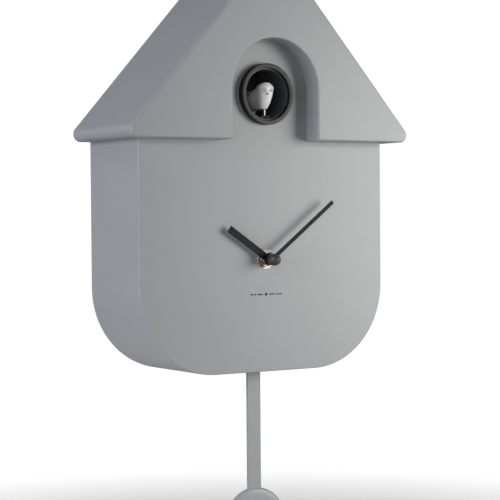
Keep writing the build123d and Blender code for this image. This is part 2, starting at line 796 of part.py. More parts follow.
with BuildPart() as hand_cap:
    with BuildSketch(facing_front(cap_back_y)):
        Circle(cap_radius)
    extrude(amount=cap_back_y - cap_centre_y)
    with Locations((0, cap_centre_y, 0)):
        Sphere(cap_radius)
    with BuildSketch(facing_front(cap_back_y)):
        Rectangle(4 * cap_radius, 4 * cap_radius)
    extrude(amount=-2 * cap_radius, mode=Mode.SUBTRACT)
    with BuildSketch(facing_front(cap_back_y)):
        Circle(shaft_radius + press)
    extrude(amount=cap_back_y - shaft_front_y + 0.1, mode=Mode.SUBTRACT)
hand_cap.part.label = "hand_cap"
export_step(hand_cap.part, "parts/hand_cap.step")

# ---- clock movement -----------------------------------------------------------------------
rear_pivots = [(0, 0), (0, minute_wheel_z), third_place, second_place, rotor_place]

with BuildPart() as movement_case:
    with BuildSketch(facing_front(movement_back_y)):
        RectangleRounded(2 * movement_half, 2 * movement_half, movement_corner)
    extrude(amount=movement_back_y - movement_front_y)
    inner_half = movement_half - movement_wall
    with BuildSketch(facing_front(movement_back_y)):
        RectangleRounded(2 * inner_half, 2 * inner_half, movement_corner - movement_wall)
    extrude(amount=movement_back_y - movement_inside_y, mode=Mode.SUBTRACT)
    # posts under the train plate
    with BuildSketch(facing_front(train_plate_y)):
        with GridLocations(46, 46, 2, 2):
            Circle(3.0)
    extrude(amount=train_plate_y - movement_inside_y + 0.2)
    with BuildSketch(facing_front(movement_inside_y)):
        Circle(bushing_radius + 0.02)
        with Locations((0, minute_wheel_z), (0, setting_z), third_place, second_place, rotor_place):
            Circle(pivot_radius + run)
    extrude(amount=3.0, mode=Mode.SUBTRACT)
movement_case.part.label = "movement_case"
export_step(movement_case.part, "parts/movement_case.step")

with BuildPart() as movement_cover:
    with BuildSketch(facing_front(movement_back_y + movement_wall)):
        RectangleRounded(2 * movement_half, 2 * movement_half, movement_corner)
        with Locations((0, setting_z)):
            Circle(knob_shaft_radius + run, mode=Mode.SUBTRACT)
    extrude(amount=movement_wall)
movement_cover.part.label = "movement_cover"
export_step(movement_cover.part, "parts/movement_cover.step")

with BuildPart() as train_plate:
    with BuildSketch(facing_front(train_plate_y + train_plate_thickness)):
        RectangleRounded(52, 52, 3.5)
        with Locations(*rear_pivots):
            Circle(pivot_radius + run, mode=Mode.SUBTRACT)
        with Locations((0, setting_z)):
            Circle(knob_shaft_radius + run, mode=Mode.SUBTRACT)
    extrude(amount=train_plate_thickness)
train_plate.part.label = "train_plate"
export_step(train_plate.part, "parts/train_plate.step")

pivot_front_y = movement_inside_y - 0.9
pivot_length = pivot_back_y - pivot_front_y

with BuildPart() as minute_wheel:
    with BuildSketch(facing_front(motion_wheel_y)):
        with Locations((0, minute_wheel_z)):
            toothed(minute_wheel_teeth, motion_module, 90 + 180 / minute_wheel_teeth)
    extrude(amount=motion_thickness)
    with BuildSketch(facing_front(motion_wheel_y)):
        with Locations((0, minute_wheel_z)):
            toothed(minute_pinion_teeth, hour_module, 90)
    extrude(amount=motion_wheel_y - hour_wheel_y + wheel_thickness)
    with BuildSketch(facing_front(pivot_front_y + pivot_length)):
        with Locations((0, minute_wheel_z)):
            Circle(pivot_radius)
    extrude(amount=pivot_length)
minute_wheel.part.label = "minute_wheel"
export_step(minute_wheel.part, "parts/minute_wheel.step")

with BuildPart() as setting_knob:
    with BuildSketch(facing_front(motion_wheel_y)):
        with Locations((0, setting_z)):
            toothed(setting_teeth, motion_module, 90)
    extrude(amount=motion_thickness)
    with BuildSketch(facing_front(knob_front_y)):
        with Locations((0, setting_z)):
            Circle(knob_shaft_radius)
    extrude(amount=knob_front_y - motion_wheel_y)
    with BuildSketch(facing_front(motion_wheel_y)):
        with Locations((0, setting_z)):
            Circle(pivot_radius)
    extrude(amount=motion_wheel_y - pivot_front_y)
    # fluted finger knob in the back cover's hole
    with BuildSketch(facing_front(-0.8)):
        with Locations((0, setting_z)):
            Circle(knob_radius)
            with PolarLocations(knob_radius + 0.5, 14):
                Circle(0.9, mode=Mode.SUBTRACT)
    extrude(amount=-0.8 - knob_front_y)
setting_knob.part.label = "setting_knob"
export_step(setting_knob.part, "parts/setting_knob.step")

with BuildPart() as third_wheel:
    with BuildSketch(facing_front(third_wheel_y)):
        with Locations(third_place):
            toothed(third_wheel_teeth, second_module, train_angle + 180 / third_wheel_teeth)
    extrude(amount=wheel_thickness)
    with BuildSketch(facing_front(third_wheel_y)):
        with Locations(third_place):
            toothed(third_pinion_teeth, train_module, train_angle + 180)
    extrude(amount=third_wheel_y - centre_wheel_y + wheel_thickness)
    with BuildSketch(facing_front(pivot_front_y + pivot_length)):
        with Locations(third_place):
            Circle(pivot_radius)
    extrude(amount=pivot_length)
third_wheel.part.label = "third_wheel"
export_step(third_wheel.part, "parts/third_wheel.step")

with BuildPart() as second_wheel:
    with BuildSketch(facing_front(second_wheel_y)):
        with Locations(second_place):
            toothed(second_wheel_teeth, second_module, train_angle)
    extrude(amount=wheel_thickness)
    with BuildSketch(facing_front(second_wheel_y)):
        with Locations(second_place):
            toothed(second_pinion_teeth, second_module, train_angle + 180)
    extrude(amount=second_wheel_y - third_wheel_y + wheel_thickness)
    with BuildSketch(facing_front(pivot_front_y + pivot_length)):
        with Locations(second_place):
            Circle(pivot_radius)
    extrude(amount=pivot_length)
second_wheel.part.label = "second_wheel"
export_step(second_wheel.part, "parts/second_wheel.step")

with BuildPart() as stepper_rotor:
    with BuildSketch(facing_front(-55.0)):
        with Locations(rotor_place):
            Circle(rotor_radius)
    extrude(amount=3.0)
    with BuildSketch(facing_front(pivot_front_y + pivot_length)):
        with Locations(rotor_place):
            Circle(pivot_radius)
    extrude(amount=pivot_length)
stepper_rotor.part.label = "stepper_rotor"
export_step(stepper_rotor.part, "parts/stepper_rotor.step")

with BuildPart() as stepper_stator:
    with BuildSketch(facing_front(-56.0)):
        Polygon((-25, -18), (-9, -18), (-9, -8), (-20.5, -8), (-20.5, 17), (-25, 17))
        with Locations(rotor_place):
            Circle(rotor_radius + 0.4, mode=Mode.SUBTRACT)
    extrude(amount=0.8)
stepper_stator.part.label = "stepper_stator"
export_step(stepper_stator.part, "parts/stepper_stator.step")

with BuildPart() as stepper_coil:
    with BuildSketch(Plane.XY.offset(-6.0)):
        with Locations((-22.7, -56.4)):
            Circle(3.0)
    extrude(amount=20.0)
    for end_z in (-7.0, 13.5):
        with BuildSketch(Plane.XY.offset(end_z)):
            with Locations((-22.7, -56.4)):
                Rectangle(7.2, 6.6)
        extrude(amount=1.0)
    with BuildSketch(Plane.XY.offset(-10.0)):
        with Locations((-22.75, -56.4)):
            Rectangle(4.7, 1.0)
    extrude(amount=30.0, mode=Mode.SUBTRACT)
stepper_coil.part.label = "stepper_coil"
export_step(stepper_coil.part, "parts/stepper_coil.step")

with BuildPart() as movement_circuit:
    with BuildSketch(facing_front(-57.0)):
        with Locations((17.0, -12)):
            Rectangle(15, 14)
    extrude(amount=1.0)
    with BuildSketch(facing_front(-55.8)):
        with Locations((16.5, -15)):
            Circle(2.6)
    extrude(amount=1.2)
movement_circuit.part.label = "movement_circuit"
export_step(movement_circuit.part, "parts/movement_circuit.step")

with BuildPart() as quartz_crystal:
    with BuildSketch(from_side(14.0)):
        with Locations((-55.9, -8.0)):
            Circle(1.0)
    extrude(amount=6.2)
    fillet(quartz_crystal.faces().sort_by(Axis.X)[-1].edges(), 0.3)
quartz_crystal.part.label = "quartz_crystal"
export_step(quartz_crystal.part, "parts/quartz_crystal.step")

# ---- pendulum and its drive ---------------------------------------------------------------
magnet_z = -60.0
magnet_radius = 3.5
magnet_thickness = 1.8
pin_radius = 0.95
pin_head_y = -46.3
hanger_y = -49.6          # back of the hanger's plate
hanger_thickness = 1.2
peg_z = -50.0             # peg that the rod's eye hangs on
peg_radius = 1.5

with BuildPart() as pendulum_bracket:
    with BuildSketch(facing_front(flange_back_y)):
        with Locations((0, -51)):
            RectangleRounded(30, 40, 3)
        with Locations(*bracket_screws_at):
            Circle(clear_radius, mode=Mode.SUBTRACT)
    extrude(amount=flange)
    # boss that holds the pin
    with BuildSketch(facing_front(flange_back_y + 1.2)):
        with Locations((0, pendulum_pivot_z)):
            Circle(boss_radius + 0.2)
    extrude(amount=1.2)
    with BuildSketch(facing_front(flange_back_y + 1.2)):
        with Locations((0, pendulum_pivot_z)):
            Circle(pin_radius + press)
    extrude(amount=through, mode=Mode.SUBTRACT)
pendulum_bracket.part.label = "pendulum_bracket"
export_step(pendulum_bracket.part, "parts/pendulum_bracket.step")

with BuildPart() as bracket_screws:
    with BuildSketch(facing_front(flange_back_y + small_head_height)):
        with Locations(*bracket_screws_at):
            Circle(small_head_radius)
    extrude(amount=small_head_height)
    with BuildSketch(facing_front(flange_back_y)):
        with Locations(*bracket_screws_at):
            Circle(shank_radius)
    extrude(amount=small_screw_length)
    with BuildSketch(facing_front(flange_back_y + small_head_height)):
        with Locations(*bracket_screws_at):
            Rectangle(recess_length, recess_slot)
            Rectangle(recess_slot, recess_length)
    extrude(amount=recess_depth, mode=Mode.SUBTRACT)
bracket_screws.part.label = "bracket_screws"
export_step(bracket_screws.part, "parts/bracket_screws.step")

with BuildPart() as pendulum_pin:
    with BuildSketch(facing_front(pin_head_y)):
        with Locations((0, pendulum_pivot_z)):
            Circle(pin_radius)
    extrude(amount=pin_head_y - boss_back_y)
    with BuildSketch(facing_front(pin_head_y + 0.7)):
        with Locations((0, pendulum_pivot_z)):
            Circle(2 * pin_radius)
    extrude(amount=0.7)
pendulum_pin.part.label = "pendulum_pin"
export_step(pendulum_pin.part, "parts/pendulum_pin.step")

with BuildPart() as pendulum_coil:
    with BuildSketch(facing_front(-52.2)):
        with Locations((0, magnet_z)):
            Circle(7.0)
            Circle(2.0, mode=Mode.SUBTRACT)
    extrude(amount=2.8)
pendulum_coil.part.label = "pendulum_coil"
export_step(pendulum_coil.part, "parts/pendulum_coil.step")

with BuildPart() as pendulum_hanger:
    with BuildSketch(facing_front(hanger_y)):
        Polygon((-4.0, pendulum_pivot_z), (4.0, pendulum_pivot_z), (6.0, magnet_z), (-6.0, magnet_z))
        with Locations((0, pendulum_pivot_z)):
            Circle(4.0)
        with Locations((0, magnet_z)):
            Circle(6.0)
            Circle(magnet_radius + 2 * press, mode=Mode.SUBTRACT)
    extrude(amount=hanger_thickness)
    # long bearing on the pin
    with BuildSketch(facing_front(-47.0)):
        with Locations((0, pendulum_pivot_z)):
            Circle(2.8)
    extrude(amount=5.6)
    with BuildSketch(facing_front(-46.8)):
        with Locations((0, peg_z)):
            Circle(peg_radius)
    extrude(amount=3.0)
    with BuildSketch(facing_front(-46.8)):
        with Locations((0, pendulum_pivot_z)):
            Circle(pin_radius + run)
    extrude(amount=through, mode=Mode.SUBTRACT)
pendulum_hanger.part.label = "pendulum_hanger"
export_step(pendulum_hanger.part, "parts/pendulum_hanger.step")

with BuildPart() as pendulum_magnet:
    with BuildSketch(facing_front(hanger_y)):
        with Locations((0, magnet_z)):
            Circle(magnet_radius)
    extrude(amount=magnet_thickness)
pendulum_magnet.part.label = "pendulum_magnet"
export_step(pendulum_magnet.part, "parts/pendulum_magnet.step")

bob_z = pendulum_bottom_z + bob_radius

with BuildPart() as pendulum_rod:
    with BuildSketch(facing_front(pendulum_y + rod_thickness / 2)):
        with Locations((0, (bob_z - 45) / 2)):
            RectangleRounded(rod_width, -45 - bob_z, 1.5)
        with Locations((0, peg_z)):
            Circle(peg_radius + run, mode=Mode.SUBTRACT)
    extrude(amount=rod_thickness)
pendulum_rod.part.label = "pendulum_rod"
export_step(pendulum_rod.part, "parts/pendulum_rod.step")

with BuildPart() as pendulum_bob:
    with BuildSketch(facing_front(pendulum_y + bob_thickness / 2)):
        with Locations((0, bob_z)):
            Circle(bob_radius)
    extrude(amount=bob_thickness)
    fillet(pendulum_bob.edges().filter_by(GeomType.CIRCLE), bob_edge_radius)
    with BuildSketch(facing_front(pendulum_y + rod_thickness / 2)):
        with Locations((0, bob_z - 1)):
            Rectangle(rod_width, 40, align=(Align.CENTER, Align.MIN))
    extrude(amount=rod_thickness, mode=Mode.SUBTRACT)
pendulum_bob.part.label = "pendulum_bob"
export_step(pendulum_bob.part, "parts/pendulum_bob.step")

# ---- sound, switches and power ------------------------------------------------------------
with BuildPart() as sound_board:
    with BuildSketch(facing_front(board_y)):
        with Locations(board_place):
            Rectangle(*board_size)
    extrude(amount=board_thickness)
sound_board.part.label = "sound_board"
export_step(sound_board.part, "parts/sound_board.step")

with BuildPart() as board_components:
    with BuildSketch(facing_front(board_y - board_thickness)):
        with Locations((board_place[0] - 8, board_place[1] + 4)):
            Rectangle(12, 8)
        with Locations((board_place[0] + 12, board_place[1] + 8)):
            Rectangle(7, 5)
    extrude(amount=2.0)
    with BuildSketch(facing_front(board_y - board_thickness)):
        with Locations((board_place[0] + 6, board_place[1] - 9), (board_place[0] + 13, board_place[1] - 9)):
            Circle(2.5)
    extrude(amount=8.0)
    with BuildSketch(facing_front(board_y - board_thickness)):
        with Locations((board_place[0] - 10, board_place[1] - 12)):
            Rectangle(10, 5)
    extrude(amount=5.0)
board_components.part.label = "board_components"
export_step(board_components.part, "parts/board_components.step")

speaker_plane = Plane((speaker_place[0], 0, speaker_place[1]), x_dir=(1, 0, 0), z_dir=(0, 0, 1))
speaker_axis = Axis((speaker_place[0], 0, speaker_place[1]), (0, 1, 0))

with BuildPart() as speaker_basket:
    with BuildSketch(speaker_plane):
        Polygon((25, -3), (25, -5.5), (23, -6.5), (15, -13), (15, -14.5), (5, -14.5), (5, -13.3),
                (13.5, -13.3), (13.5, -12.4), (21.6, -5.6), (21.6, -3))
    revolve(axis=speaker_axis)
speaker_basket.part.label = "speaker_basket"
export_step(speaker_basket.part, "parts/speaker_basket.step")

with BuildPart() as speaker_cone:
    with BuildSketch(speaker_plane):
        Polygon((0, -8.4), (4, -9.0), (7, -11.2), (19.5, -4.3), (21.4, -4.6), (21.4, -4.9),
                (19.4, -4.9), (7, -11.8), (4, -9.6), (0, -9.0))
    revolve(axis=speaker_axis)
speaker_cone.part.label = "speaker_cone"
export_step(speaker_cone.part, "parts/speaker_cone.step")

with BuildPart() as speaker_magnet:
    with BuildSketch(facing_front(-14.5)):
        with Locations(speaker_place):
            Circle(12.0)
    extrude(amount=6.0)
    chamfer(speaker_magnet.faces().sort_by(Axis.Y)[0].edges(), 0.6)
speaker_magnet.part.label = "speaker_magnet"
export_step(speaker_magnet.part, "parts/speaker_magnet.step")

cells_x = [tray_x + cell_pitch * row for row in (-1, 0, 1)]
cell_y = -11.2
cell_foot_z = -cell_length / 2 - 1.0

with BuildPart() as battery_tray:
    with BuildSketch(facing_front(cover_inside_y)):
        with Locations((tray_x, 0)):
            RectangleRounded(2 * tray_half_width, 2 * tray_half_height, 2)
    extrude(amount=cover_inside_y - tray_front_y)
    with BuildSketch(facing_front(cover_inside_y)):
        with Locations((tray_x, 0)):
            Rectangle(2 * (tray_half_width - tray_wall), 2 * (tray_half_height - tray_wall))
    extrude(amount=cover_inside_y - tray_front_y - tray_wall, mode=Mode.SUBTRACT)
battery_tray.part.label = "battery_tray"
export_step(battery_tray.part, "parts/battery_tray.step")

with BuildPart() as battery_cells:
    with BuildSketch(Plane.XY.offset(cell_foot_z)):
        with Locations(*[(x, cell_y) for x in cells_x]):
            Circle(cell_radius)
    extrude(amount=cell_length)
    fillet(battery_cells.edges().filter_by(GeomType.CIRCLE), 0.6)
    with BuildSketch(Plane.XY.offset(cell_foot_z + cell_length)):
        with Locations(*[(x, cell_y) for x in cells_x]):
            Circle(2.6)
    extrude(amount=cell_nub)
battery_cells.part.label = "battery_cells"
export_step(battery_cells.part, "parts/battery_cells.step")

spring_length = cell_foot_z + tray_half_height - tray_wall - 2 * run
on_its_foot = (Align.CENTER, Align.CENTER, Align.MIN)

with BuildPart() as battery_contacts:
    for x in cells_x:
        with Locations((x, cell_y, -tray_half_height + tray_wall + run)):
            Cone(4.5, 3.0, spring_length, align=on_its_foot)
        with Locations((x, cell_y, cell_foot_z + cell_length + cell_nub + run)):
            Box(9.0, 9.0, 0.6, align=on_its_foot)
battery_contacts.part.label = "battery_contacts"
export_step(battery_contacts.part, "parts/battery_contacts.step")

with BuildPart() as battery_door:
    with BuildSketch(facing_front(door_back_y)):
        with Locations((tray_x, 0)):
            Rectangle(2 * door_half_width, 2 * door_half_height)
    extrude(amount=door_thickness)
    fillet(battery_door.edges().filter_by(Axis.X).group_by(Axis.Z)[-1], door_thickness / 2 - 0.05)
    # finger grip
    with BuildSketch(facing_front(door_back_y + 0.35)):
        for rib in range(4):
            with Locations((tray_x, -door_half_height + 9 + 2.4 * rib)):
                Rectangle(16, 1.0)
    extrude(amount=0.4)
battery_door.part.label = "battery_door"
export_step(battery_door.part, "parts/battery_door.step")

with BuildPart() as switch_board:
    with BuildSketch(facing_front(board_y)):
        with Locations(switch_board_place):
            Rectangle(*switch_board_size)
    extrude(amount=switch_board_thickness)
switch_board.part.label = "switch_board"
export_step(switch_board.part, "parts/switch_board.step")

with BuildPart() as volume_switch:
    with BuildSketch(facing_front(-5.6)):
        with Locations(switch_place):
            Rectangle(13.0, 7.0)
    extrude(amount=4.9)
    with BuildSketch(facing_front(-5.6)):
        with Locations(switch_place):
            Rectangle(switch_travel + 3.2, 3.0)
    extrude(amount=2.4, mode=Mode.SUBTRACT)
volume_switch.part.label = "volume_switch"
export_step(volume_switch.part, "parts/volume_switch.step")

with BuildPart() as volume_slider:
    with BuildSketch(facing_front(-0.6)):
        with Locations((switch_place[0] - switch_travel / 2, switch_place[1])):
            Rectangle(slider_width, slider_width)
            for groove in (-1.2, 0.0, 1.2):
                with Locations((groove, 0)):
                    Rectangle(0.4, 2.6, mode=Mode.SUBTRACT)
    extrude(amount=0.6)
    with BuildSketch(facing_front(-1.2)):
        with Locations((switch_place[0] - switch_travel / 2, switch_place[1])):
            Rectangle(slider_width, slider_width)
    extrude(amount=4.0)
    with BuildSketch(facing_front(-5.2)):
        with Locations((switch_place[0] - switch_travel / 2, switch_place[1])):
            Rectangle(2.6, 2.6)
    extrude(amount=2.6)
volume_slider.part.label = "volume_slider"
export_step(volume_slider.part, "parts/volume_slider.step")

with BuildPart() as button_switch:
    with BuildSketch(facing_front(-7.4)):
        with Locations(button_place):
            Rectangle(6.0, 6.0)
    extrude(amount=3.1)
button_switch.part.label = "button_switch"
export_step(button_switch.part, "parts/button_switch.step")

with BuildPart() as set_button:
    with BuildSketch(facing_front(-0.8)):
        with Locations(button_place):
            Circle(button_radius)
    extrude(amount=4.0)
    with BuildSketch(facing_front(-4.6)):
        with Locations(button_place):
            Circle(button_radius + 1.2)
    extrude(amount=1.2)
    fillet(set_button.faces().sort_by(Axis.Y)[-1].edges(), 0.4)
set_button.part.label = "set_button"
export_step(set_button.part, "parts/set_button.step")

with BuildPart() as light_sensor:
    with BuildSketch(Plane.XY.offset(case_bottom_z + 0.4)):
        with Locations(sensor_place):
            Circle(sensor_radius)
    extrude(amount=4.0)
    with BuildSketch(Plane.XY.offset(case_bottom_z + wall)):
        with Locations(sensor_place):
            Circle(sensor_radius + 0.9)
    extrude(amount=1.0)
light_sensor.part.label = "light_sensor"
export_step(light_sensor.part, "parts/light_sensor.step")
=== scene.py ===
import bpy
import json
import math
import numpy as np
from mathutils import Matrix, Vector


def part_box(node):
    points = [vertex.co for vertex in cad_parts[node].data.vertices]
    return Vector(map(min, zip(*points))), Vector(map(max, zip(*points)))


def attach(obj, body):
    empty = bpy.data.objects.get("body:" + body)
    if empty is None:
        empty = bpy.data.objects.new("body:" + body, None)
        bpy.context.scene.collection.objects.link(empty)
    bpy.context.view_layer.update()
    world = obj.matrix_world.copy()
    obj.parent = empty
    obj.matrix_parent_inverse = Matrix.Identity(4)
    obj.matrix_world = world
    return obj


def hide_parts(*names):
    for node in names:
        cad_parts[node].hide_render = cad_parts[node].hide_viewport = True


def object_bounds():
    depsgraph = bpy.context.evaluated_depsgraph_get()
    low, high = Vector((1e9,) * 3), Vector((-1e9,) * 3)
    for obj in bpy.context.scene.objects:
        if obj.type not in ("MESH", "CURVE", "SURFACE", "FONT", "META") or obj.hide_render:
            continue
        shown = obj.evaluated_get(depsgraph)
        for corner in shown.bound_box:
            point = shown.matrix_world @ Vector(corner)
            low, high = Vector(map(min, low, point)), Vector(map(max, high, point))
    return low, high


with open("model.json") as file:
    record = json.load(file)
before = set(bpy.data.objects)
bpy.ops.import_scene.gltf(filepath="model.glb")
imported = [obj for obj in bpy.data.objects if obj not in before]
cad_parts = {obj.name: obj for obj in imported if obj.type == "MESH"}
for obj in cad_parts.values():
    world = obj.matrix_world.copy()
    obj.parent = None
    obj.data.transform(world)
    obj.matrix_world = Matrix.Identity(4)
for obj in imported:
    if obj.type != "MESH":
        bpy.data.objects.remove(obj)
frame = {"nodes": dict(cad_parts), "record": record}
cad_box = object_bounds()
MM = 0.001
TURN = 2 * np.pi

# radii that no outer box gives
bezel_bore = 17.0 * MM
bezel_spigot = 19.0 * MM      # the part of the ring that passes through the case
washer_bore = 4.1 * MM
nut_bore = 4.05 * MM
thread_radius = 4.0 * MM
thread_pitch = 0.75 * MM
thread_depth = 0.3 * MM
bushing_bore = 2.55 * MM
hour_tube = 2.5 * MM
minute_shaft = 1.6 * MM
hour_hub = 3.8 * MM
minute_hub = 3.6 * MM


# ---- camera, light and floor ---------------------------------------------------------------
def stand(data, place, right, up, back):
    """Puts a camera or a light at place, with its own axes along right, up and back."""
    matrix = np.eye(4)
    matrix[:3, :3] = np.stack([right, up, back], 1)
    matrix[:3, 3] = place
    thing = bpy.data.objects.new(data.name, data)
    thing.matrix_world = Matrix(matrix.tolist())
    bpy.context.scene.collection.objects.link(thing)
    return thing


def aim_camera():
    """A long lens, a little left of the clock's front and just above its hands.

    Its right, up and back are the world's axes turned by the heading about +Z, by the dip about
    the new right, and by the tilt about the line of sight."""
    heading, dip, tilt = (math.radians(a) for a in (32.84, 1.254, -0.461))
    level = np.array([math.cos(heading), -math.sin(heading), 0.0])
    ahead = np.array([math.sin(heading), math.cos(heading), 0.0])
    above = np.array([0.0, 0.0, 1.0])
    sight = ahead * math.cos(dip) - above * math.sin(dip)
    rise = above * math.cos(dip) + ahead * math.sin(dip)
    right = level * math.cos(tilt) + rise * math.sin(tilt)
    up = rise * math.cos(tilt) - level * math.sin(tilt)
    lens = bpy.data.cameras.new("camera")
    lens.lens = 115.83
    lens.sensor_width = 36.0
    lens.clip_start = 0.01
    bpy.context.scene.camera = stand(lens, (-0.5828, -0.9488, 0.0294), right, up, -sight)


def softbox(name, place, aim, size, power, colour):
    """A square area light at place that faces aim."""
    data = bpy.data.lights.new(name, "AREA")
    data.shape = "RECTANGLE"
    data.size, data.size_y = size
    data.energy = power
    data.color = tint(colour)[:3]
    back = np.subtract(place, aim)
    back = back / np.linalg.norm(back)
    side = np.cross((0, 0, 1), back)
    side = side / np.linalg.norm(side)
    stand(data, place, side, np.cross(back, side), back)


def tint(code):
    """Linear colour of an sRGB hex code."""
    srgb = np.array([int(code[i:i + 2], 16) for i in (1, 3, 5)]) / 255
    linear = np.where(srgb <= 0.04045, srgb / 12.92, ((srgb + 0.055) / 1.055) ** 2.4)
    return (*linear.tolist(), 1.0)


def add(tree, kind, inputs=(), **settings):
    """Adds a shader node. Settings are its own choices; inputs give sockets a value or a link."""
    node = tree.nodes.new(kind)
    for name, value in settings.items():
        setattr(node, name, value)
    for socket, value in dict(inputs).items():
        if isinstance(value, bpy.types.NodeSocket):
            tree.links.new(value, node.inputs[socket])
        else:
            node.inputs[socket].default_value = value
    return node


def light_room():
    """White surroundings that the lens sees as white, and that light the clock less than that.

    A square key light stands 45 degrees to the right of the dial and a large, cooler one beside
    the left flank. A weak one stands next to the lens, one over the roof's left slope, and one
    behind, low enough to miss the slopes that the lens sees."""
    world = bpy.data.worlds.new("room")
    world.use_nodes = True
    tree = world.node_tree
    tree.nodes.clear()
    seen = add(tree, "ShaderNodeBackground", {"Color": (1, 1, 1, 1), "Strength": 1.05})
    fill = add(tree, "ShaderNodeBackground", {"Color": tint("#f7f8fa"), "Strength": 0.04})
    ray = add(tree, "ShaderNodeLightPath")
    both = add(tree, "ShaderNodeMixShader", {0: ray.outputs["Is Camera Ray"],
                                            1: fill.outputs[0], 2: seen.outputs[0]})
    add(tree, "ShaderNodeOutputWorld", {"Surface": both.outputs[0]})
    bpy.context.scene.world = world
    bpy.context.scene.view_settings.view_transform = "Standard"
    softbox("key", (0.50, -0.51, 0.06), (0.02, -0.06, 0.02), (0.38, 0.38), 3.95, "#fffefb")
    softbox("side_fill", (-1.1, -0.2, 0.15), (-0.1, -0.03, 0.05), (0.6, 0.6), 9.2, "#f4f6ff")
    softbox("front_fill", (-0.8, -1.1, 0.2), (0.0, -0.06, 0.05), (0.5, 0.5), 2.4, "#fbfcff")
    softbox("upper_left", (-0.7, -0.15, 0.95), (-0.05, 0.0, 0.12), (0.5, 0.5), 2.4, "#f8faff")
    softbox("behind", (0.16, 1.2, 0.1), (0.0, 0.0, 0.02), (0.4, 0.4), 7.0, "#ffffff")


def lay_floor(height):
    """A pale round floor that fades out at its rim."""
    angle = np.linspace(0, TURN, 96, endpoint=False)
    rim = np.stack([0.6 * np.cos(angle), 0.6 * np.sin(angle), np.full(96, height)], 1)
    mesh = bpy.data.meshes.new("floor")
    mesh.from_pydata(rim.tolist(), [], [list(range(96))])
    floor = bpy.data.objects.new("floor", mesh)
    bpy.context.scene.collection.objects.link(floor)
    material = bpy.data.materials.new("pale_floor_paint")
    material.use_nodes = True
    tree = material.node_tree
    tree.nodes.clear()
    place = add(tree, "ShaderNodeTexCoord")
    flat = add(tree, "ShaderNodeVectorMath", {0: place.outputs["Object"], 1: (1, 1, 0)},
               operation="MULTIPLY")
    far = add(tree, "ShaderNodeVectorMath", {0: flat.outputs[0]}, operation="LENGTH")
    fade = add(tree, "ShaderNodeMapRange", {"Value": far.outputs["Value"],
                                           "From Min": 0.2, "From Max": 0.58},
               interpolation_type="SMOOTHSTEP")
    paint = add(tree, "ShaderNodeBsdfDiffuse", {"Color": tint("#f2f2f0")})
    clear = add(tree, "ShaderNodeBsdfTransparent")
    mix = add(tree, "ShaderNodeMixShader", {0: fade.outputs[0], 1: paint.outputs[0],
                                           2: clear.outputs[0]})
    add(tree, "ShaderNodeOutputMaterial", {"Surface": mix.outputs[0]})
    mesh.materials.append(material)


aim_camera()
light_room()
lay_floor(cad_box[0][2] - 25 * MM)


# ---- finishes ------------------------------------------------------------------------------
def finish(name, base, roughness, grain_mm, grain_depth_mm, shade=0.04, rough_spread=0.06,
           patch_mm=40.0, **shader):
    """A moulded, painted or cast surface: a colour that drifts a little over patches of
    patch_mm, and a grain of grain_mm that stands grain_depth_mm proud and breaks up the gloss."""
    material = bpy.data.materials.new(name)
    material.use_nodes = True
    tree = material.node_tree
    surface = tree.nodes["Principled BSDF"]
    place = add(tree, "ShaderNodeTexCoord").outputs["Object"]
    patch = add(tree, "ShaderNodeTexNoise", {"Vector": place, "Scale": 1 / (patch_mm * MM),
                                            "Detail": 3.0, "Roughness": 0.55})
    darker = [c * (1 - shade) for c in tint(base)[:3]] + [1.0]
    paler = [min(1.0, c * (1 + shade)) for c in tint(base)[:3]] + [1.0]
    colour = add(tree, "ShaderNodeMix", {0: patch.outputs["Fac"], 6: darker, 7: paler},
                 data_type="RGBA")
    tree.links.new(colour.outputs[2], surface.inputs["Base Color"])
    grain = add(tree, "ShaderNodeTexNoise", {"Vector": place, "Scale": 1 / (grain_mm * MM),
                                            "Detail": 2.0, "Roughness": 0.6})
    gloss = add(tree, "ShaderNodeMapRange", {"Value": grain.outputs["Fac"],
                                            "From Min": 0.3, "From Max": 0.7,
                                            "To Min": roughness - rough_spread,
                                            "To Max": roughness + rough_spread})
    tree.links.new(gloss.outputs[0], surface.inputs["Roughness"])
    relief = add(tree, "ShaderNodeBump", {"Height": grain.outputs["Fac"], "Strength": 1.0,
                                         "Distance": grain_depth_mm * MM})
    tree.links.new(relief.outputs[0], surface.inputs["Normal"])
    for socket, value in shader.items():
        surface.inputs[socket.replace("_", " ")].default_value = value
    return material


